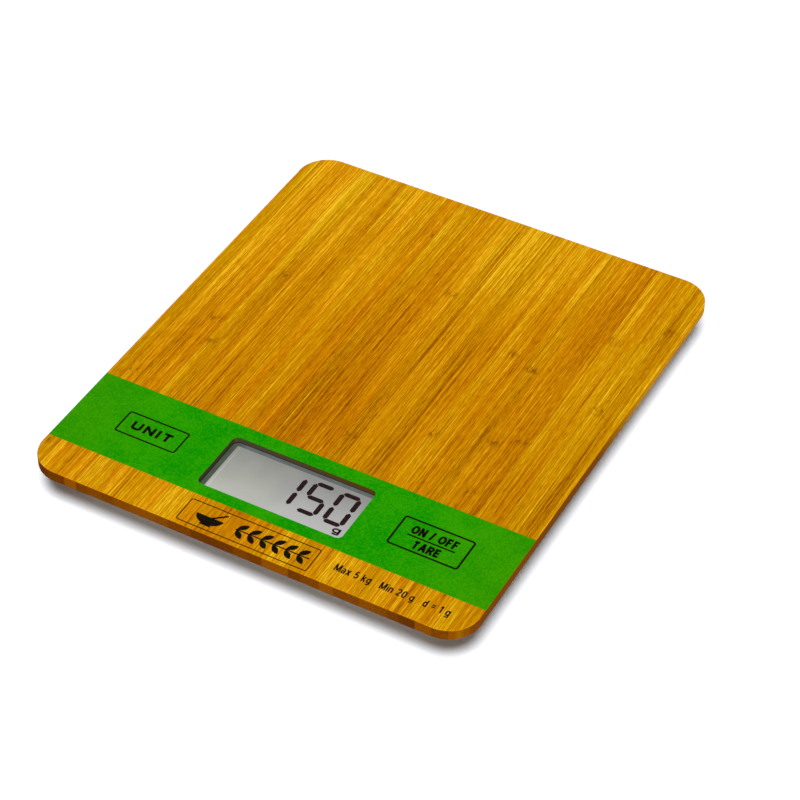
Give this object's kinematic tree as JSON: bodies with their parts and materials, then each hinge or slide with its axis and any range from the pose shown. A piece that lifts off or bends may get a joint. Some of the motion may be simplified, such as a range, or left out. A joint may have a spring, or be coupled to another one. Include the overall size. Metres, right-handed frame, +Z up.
{
  "type": "kitchen scale",
  "caption": "Slim electronic kitchen scale: bamboo platform with a coloured key panel and segment display, shallow housing and sprung load cell feet.",
  "frame": {"origin": "on the table, under the middle of the platform", "axes": "+X to the right, +Y from the display edge to the back edge, +Z up"},
  "size_m": [0.195, 0.228, 0.022],
  "materials": {
    "bamboo": "satin lacquered bamboo, strips along Y",
    "panel_film": "matte printed film, green",
    "display_face": "reflective segment display, grey",
    "display_glass": "dark glass margin of the display",
    "silicone": "pink elastomer",
    "black_plastic": "fine moulded texture",
    "white_plastic": "fine moulded texture",
    "circuit_board": "green solder mask",
    "epoxy": "black potting",
    "brass": "plain",
    "lead_sleeve": "soft sleeve",
    "red_sleeve": "soft sleeve",
    "screw_steel": "zinc plated",
    "battery_wrap": "printed wrap, no marks",
    "contact_steel": "nickel plated",
    "load_cell_steel": "plain",
    "rubber": "matte"
  },
  "bodies": {
    "platform": {"platform_board": "bamboo", "control_panel_film": "panel_film", "display_polariser": "display_face", "display_glass": "display_glass", "display_connector_strip": "silicone", "display_frame": "black_plastic", "circuit_board": "circuit_board", "circuit_board_chip": "epoxy", "touch_pad_unit": "brass", "touch_pad_tare": "brass", "touch_lead_unit": "lead_sleeve", "touch_lead_tare": "lead_sleeve", "circuit_board_screw_1": "screw_steel", "circuit_board_screw_2": "screw_steel", "bottom_housing": "white_plastic", "battery_cell_front": "battery_wrap", "battery_cell_back": "battery_wrap", "contact_plate_plus": "contact_steel", "contact_plate_minus": "contact_steel", "contact_plate_bridge": "contact_steel", "contact_spring_minus": "contact_steel", "contact_spring_bridge": "contact_steel", "battery_lead_plus": "red_sleeve", "battery_lead_minus": "lead_sleeve", "load_cell_front_left": "load_cell_steel", "load_cell_bracket_front_left": "white_plastic", "load_cell_lead_front_left": "lead_sleeve", "bracket_screw_front_left_1": "screw_steel", "bracket_screw_front_left_2": "screw_steel", "load_cell_front_right": "load_cell_steel", "load_cell_bracket_front_right": "white_plastic", "load_cell_lead_front_right": "lead_sleeve", "bracket_screw_front_right_1": "screw_steel", "bracket_screw_front_right_2": "screw_steel", "load_cell_back_left": "load_cell_steel", "load_cell_bracket_back_left": "white_plastic", "load_cell_lead_back_left": "lead_sleeve", "bracket_screw_back_left_1": "screw_steel", "bracket_screw_back_left_2": "screw_steel", "load_cell_back_right": "load_cell_steel", "load_cell_bracket_back_right": "white_plastic", "load_cell_lead_back_right": "lead_sleeve", "bracket_screw_back_right_1": "screw_steel", "bracket_screw_back_right_2": "screw_steel", "housing_screw_1": "screw_steel", "housing_screw_2": "screw_steel", "housing_screw_3": "screw_steel", "housing_screw_4": "screw_steel", "housing_screw_5": "screw_steel", "housing_screw_6": "screw_steel"},
    "foot_front_left": {"foot_cup_front_left": "black_plastic", "foot_pad_front_left": "rubber"},
    "foot_front_right": {"foot_cup_front_right": "black_plastic", "foot_pad_front_right": "rubber"},
    "foot_back_left": {"foot_cup_back_left": "black_plastic", "foot_pad_back_left": "rubber"},
    "foot_back_right": {"foot_cup_back_right": "black_plastic", "foot_pad_back_right": "rubber"},
    "battery_door": {"battery_door": "white_plastic"}
  },
  "joints": [
    {"name": "foot_travel_front_left", "type": "slide", "parent": "platform", "child": "foot_front_left", "axis": [0, 0, 1], "range_m": [0, 0.00025], "stiffness_N_per_m": 50000},
    {"name": "foot_travel_front_right", "type": "slide", "parent": "platform", "child": "foot_front_right", "axis": [0, 0, 1], "range_m": [0, 0.00025], "stiffness_N_per_m": 50000},
    {"name": "foot_travel_back_left", "type": "slide", "parent": "platform", "child": "foot_back_left", "axis": [0, 0, 1], "range_m": [0, 0.00025], "stiffness_N_per_m": 50000},
    {"name": "foot_travel_back_right", "type": "slide", "parent": "platform", "child": "foot_back_right", "axis": [0, 0, 1], "range_m": [0, 0.00025], "stiffness_N_per_m": 50000},
    {"name": "battery_door_tilt", "type": "hinge", "parent": "platform", "child": "battery_door", "pos_m": [0, 0.0112, 0.003], "axis": [1, 0, 0], "range_deg": [0, 75]}
  ]
}
